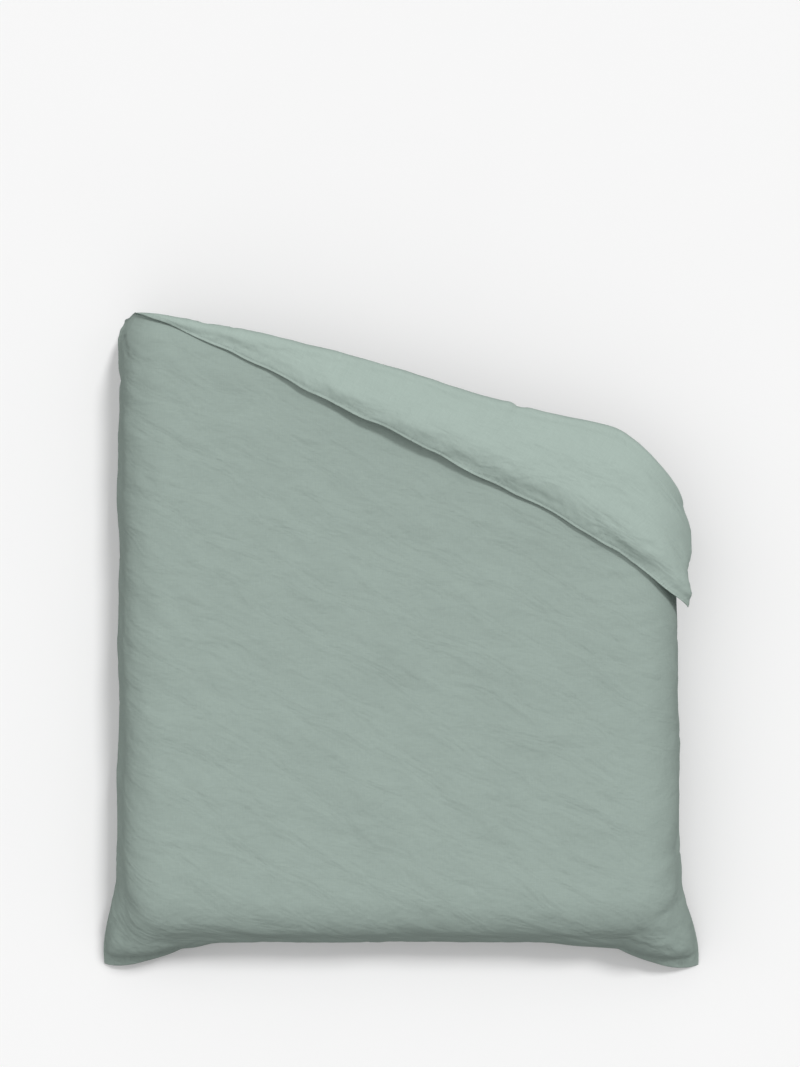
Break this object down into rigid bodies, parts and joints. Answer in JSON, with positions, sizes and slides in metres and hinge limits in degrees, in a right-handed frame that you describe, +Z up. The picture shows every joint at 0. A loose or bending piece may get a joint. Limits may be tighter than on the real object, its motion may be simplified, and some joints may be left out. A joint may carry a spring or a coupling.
{
  "type": "duvet",
  "caption": "Filled duvet in a buttoned cover, draped over a bed with a head corner turned back; its baffled inner is held by corner ties.",
  "frame": {"origin": "middle of the mattress top that the underside of the duvet lies on", "axes": "+Z up, +Y towards the head of the bed, +X towards the turned-back corner; the sides and foot hang below z = 0"},
  "size_m": [1.7996, 1.9395, 0.3559],
  "materials": {
    "cover_cotton": "sage green plain-weave cotton, matt",
    "inner_cotton": "white downproof cotton, matt",
    "filling": "white lofted filling",
    "inner_tape": "off-white woven tape",
    "button": "dyed-to-match four-hole button",
    "thread": "sewing thread",
    "label": "plain white satin tape"
  },
  "bodies": {
    "root": {"baffle_cross_row1_column1": "inner_tape", "baffle_cross_row1_column2": "inner_tape", "baffle_cross_row1_column3": "inner_tape", "baffle_cross_row1_column4": "inner_tape", "baffle_cross_row2_column1": "inner_tape", "baffle_cross_row2_column2": "inner_tape", "baffle_cross_row2_column3": "inner_tape", "baffle_cross_row2_column4": "inner_tape", "baffle_cross_row3_column1": "inner_tape", "baffle_cross_row3_column2": "inner_tape", "baffle_cross_row3_column3": "inner_tape", "baffle_cross_row3_column4": "inner_tape", "baffle_long_1": "inner_tape", "baffle_long_2": "inner_tape", "baffle_long_3": "inner_tape", "button_1": "button", "button_2": "button", "button_3": "button", "button_4": "button", "button_5": "button", "button_6": "button", "button_shank_1": "thread", "button_shank_2": "thread", "button_shank_3": "thread", "button_shank_4": "thread", "button_shank_5": "thread", "button_shank_6": "thread", "care_label": "label", "cover_corner_tie_foot_left": "cover_cotton", "cover_corner_tie_foot_right": "cover_cotton", "cover_corner_tie_head_left": "cover_cotton", "cover_corner_tie_head_right": "cover_cotton", "cover_lower_panel": "cover_cotton", "cover_upper_panel": "cover_cotton", "fill_box_row1_column1": "filling", "fill_box_row1_column2": "filling", "fill_box_row1_column3": "filling", "fill_box_row1_column4": "filling", "fill_box_row2_column1": "filling", "fill_box_row2_column2": "filling", "fill_box_row2_column3": "filling", "fill_box_row2_column4": "filling", "fill_box_row3_column1": "filling", "fill_box_row3_column2": "filling", "fill_box_row3_column3": "filling", "fill_box_row3_column4": "filling", "fill_box_row4_column1": "filling", "fill_box_row4_column2": "filling", "fill_box_row4_column3": "filling", "fill_box_row4_column4": "filling", "inner_corner_loop_foot_left": "inner_tape", "inner_corner_loop_foot_right": "inner_tape", "inner_corner_loop_head_left": "inner_tape", "inner_corner_loop_head_right": "inner_tape", "inner_edge_binding": "inner_tape", "inner_lower_shell": "inner_cotton", "inner_upper_shell": "inner_cotton", "lower_hem_facing": "cover_cotton", "upper_hem_facing": "cover_cotton"}
  },
  "joints": []
}
